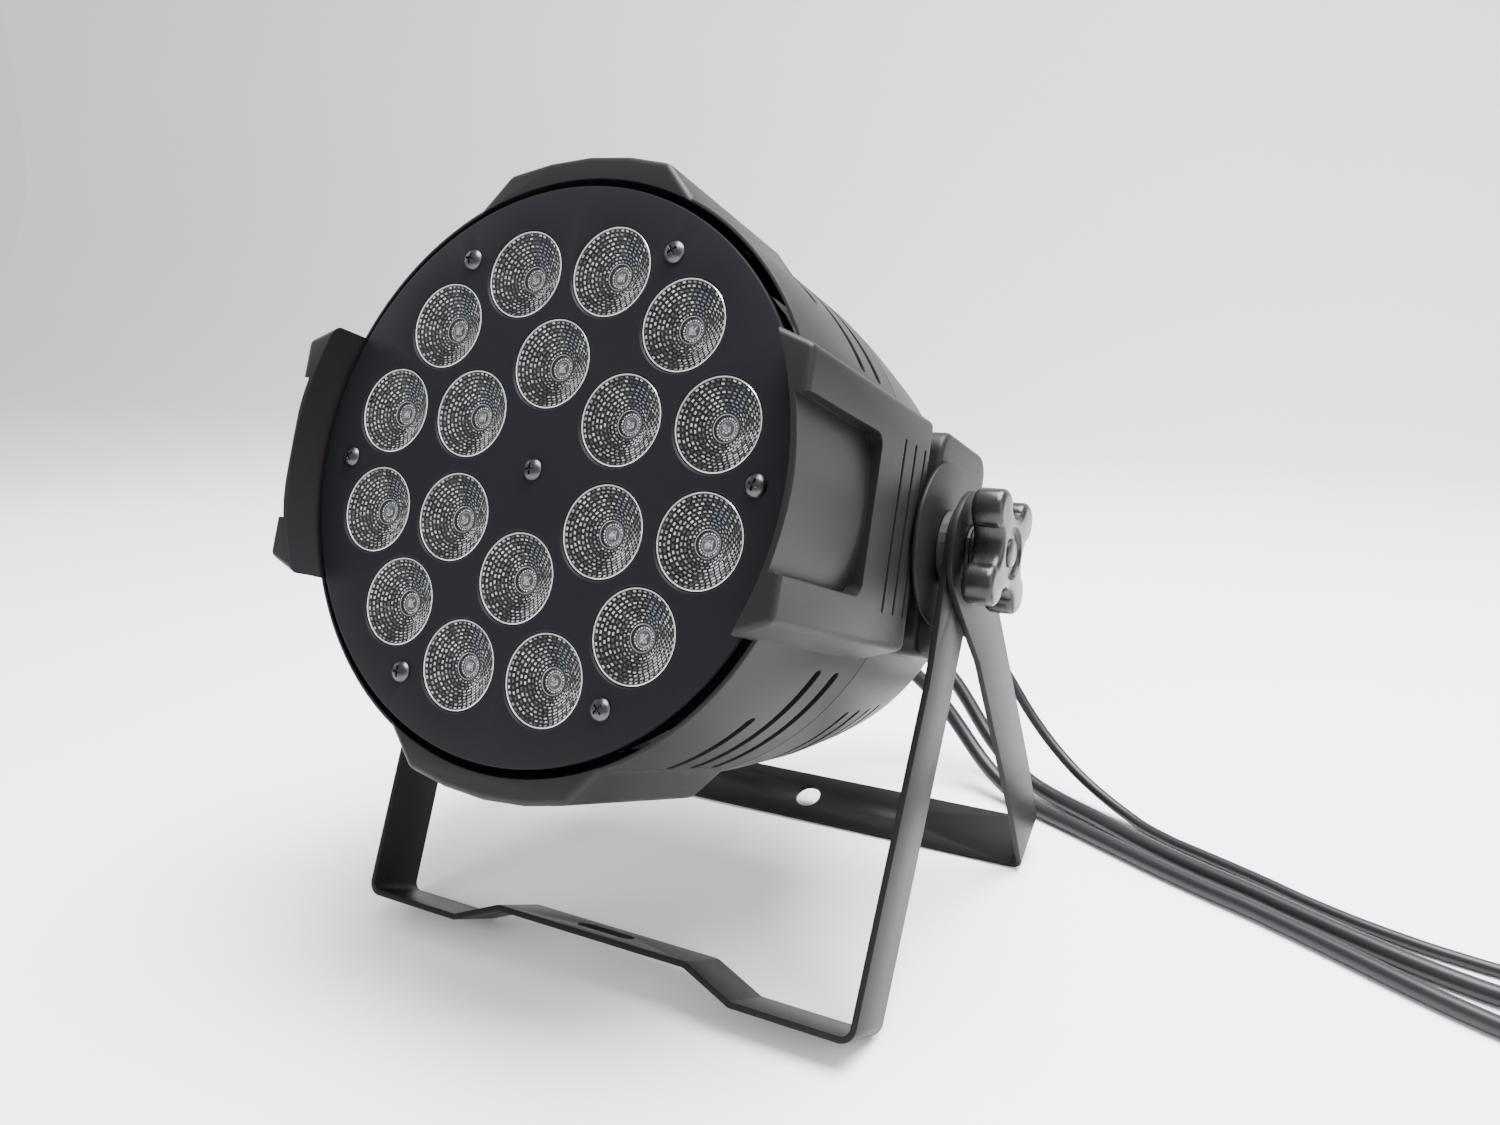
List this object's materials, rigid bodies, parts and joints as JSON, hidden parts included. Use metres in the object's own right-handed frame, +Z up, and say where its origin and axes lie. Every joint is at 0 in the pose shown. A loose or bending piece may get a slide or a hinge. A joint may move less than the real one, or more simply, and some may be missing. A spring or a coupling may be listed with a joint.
{
  "type": "stage light",
  "caption": "Short round stage wash light with a lensed face plate, square side ears, twin yoke brackets on star knobs, rear menu panel and three cords.",
  "frame": {"origin": "on the floor, under the centre of the light's box, measured without its cords", "axes": "+Z up, the beam towards -Y and 21 degrees above level, the pivot axis along X, cords leaving towards +X"},
  "size_m": [0.5493, 0.3278, 0.3065],
  "materials": {
    "cast_black": "satin black powder coat on die-cast aluminium",
    "plate_black": "matte black",
    "bracket_black": "satin black powder coat on steel strap",
    "lens_clear": "clear moulded acrylic with stepped rings",
    "screw_steel": "dark zinc plated",
    "knob_plastic": "semi-gloss moulded plastic",
    "black_rubber": "matte rubber",
    "cord_jacket": "satin PVC cable jacket",
    "connector_metal": "satin nickel",
    "bare_aluminium": "bare extruded aluminium",
    "circuit_board": "green solder mask",
    "display_glass": "dark red display window",
    "button_plastic": "matte grey plastic"
  },
  "bodies": {
    "front_stand": {"front_bracket": "bracket_black", "mains_cord": "cord_jacket", "mains_cord_coil": "cord_jacket", "mains_plug": "black_rubber", "data_in_cord": "cord_jacket", "data_in_connector": "connector_metal", "data_out_cord": "cord_jacket", "data_out_connector": "connector_metal"},
    "head": {"front_housing": "cast_black", "rear_housing": "cast_black", "pivot_pad_left": "cast_black", "pivot_pad_right": "cast_black", "face_plate": "plate_black", "lens_01": "lens_clear", "lens_02": "lens_clear", "lens_03": "lens_clear", "lens_04": "lens_clear", "lens_05": "lens_clear", "lens_06": "lens_clear", "lens_07": "lens_clear", "lens_08": "lens_clear", "lens_09": "lens_clear", "lens_10": "lens_clear", "lens_11": "lens_clear", "lens_12": "lens_clear", "lens_13": "lens_clear", "lens_14": "lens_clear", "lens_15": "lens_clear", "lens_16": "lens_clear", "lens_17": "lens_clear", "lens_18": "lens_clear", "face_screw_centre": "screw_steel", "face_screw_1": "screw_steel", "face_screw_2": "screw_steel", "face_screw_3": "screw_steel", "face_screw_4": "screw_steel", "face_screw_5": "screw_steel", "face_screw_6": "screw_steel", "led_board": "circuit_board", "heat_sink": "bare_aluminium", "power_supply_board": "circuit_board", "control_board": "circuit_board", "rear_cover": "cast_black", "display_window": "display_glass", "mains_strain_relief": "black_rubber", "data_in_strain_relief": "black_rubber", "data_out_strain_relief": "black_rubber", "pivot_spacer_left": "black_rubber", "pivot_spacer_right": "black_rubber", "pivot_washer_left": "screw_steel", "pivot_washer_right": "screw_steel"},
    "rear_stand": {"rear_bracket": "bracket_black"},
    "left_knob": {"lock_knob_left": "knob_plastic"},
    "right_knob": {"lock_knob_right": "knob_plastic"},
    "menu_key": {"menu_button": "button_plastic"},
    "up_key": {"up_button": "button_plastic"},
    "down_key": {"down_button": "button_plastic"},
    "enter_key": {"enter_button": "button_plastic"}
  },
  "joints": [
    {"name": "head_tilt", "type": "hinge", "parent": "front_stand", "child": "head", "pos_m": [0, 0.00852, 0.1643], "axis": [1, 0, 0], "range_deg": [-69, 60], "deforming": ["mains_cord", "data_in_cord", "data_out_cord"]},
    {"name": "rear_stand_swing", "type": "hinge", "parent": "front_stand", "child": "rear_stand", "pos_m": [0, 0.00852, 0.1643], "axis": [1, 0, 0], "range_deg": [-45, 18]},
    {"name": "left_knob_turn", "type": "hinge", "parent": "head", "child": "left_knob", "pos_m": [-0.13, 0.00852, 0.1643], "axis": [-1, 0, 0], "continuous": true},
    {"name": "right_knob_turn", "type": "hinge", "parent": "head", "child": "right_knob", "pos_m": [0.13, 0.00852, 0.1643], "axis": [1, 0, 0], "continuous": true},
    {"name": "menu_press", "type": "slide", "parent": "head", "child": "menu_key", "axis": [0, -0.9336, 0.3584], "range_m": [0, 0.0012], "stiffness_N_per_m": 400, "springref_m": -0.002},
    {"name": "up_press", "type": "slide", "parent": "head", "child": "up_key", "axis": [0, -0.9336, 0.3584], "range_m": [0, 0.0012], "stiffness_N_per_m": 400, "springref_m": -0.002},
    {"name": "down_press", "type": "slide", "parent": "head", "child": "down_key", "axis": [0, -0.9336, 0.3584], "range_m": [0, 0.0012], "stiffness_N_per_m": 400, "springref_m": -0.002},
    {"name": "enter_press", "type": "slide", "parent": "head", "child": "enter_key", "axis": [0, -0.9336, 0.3584], "range_m": [0, 0.0012], "stiffness_N_per_m": 400, "springref_m": -0.002}
  ]
}
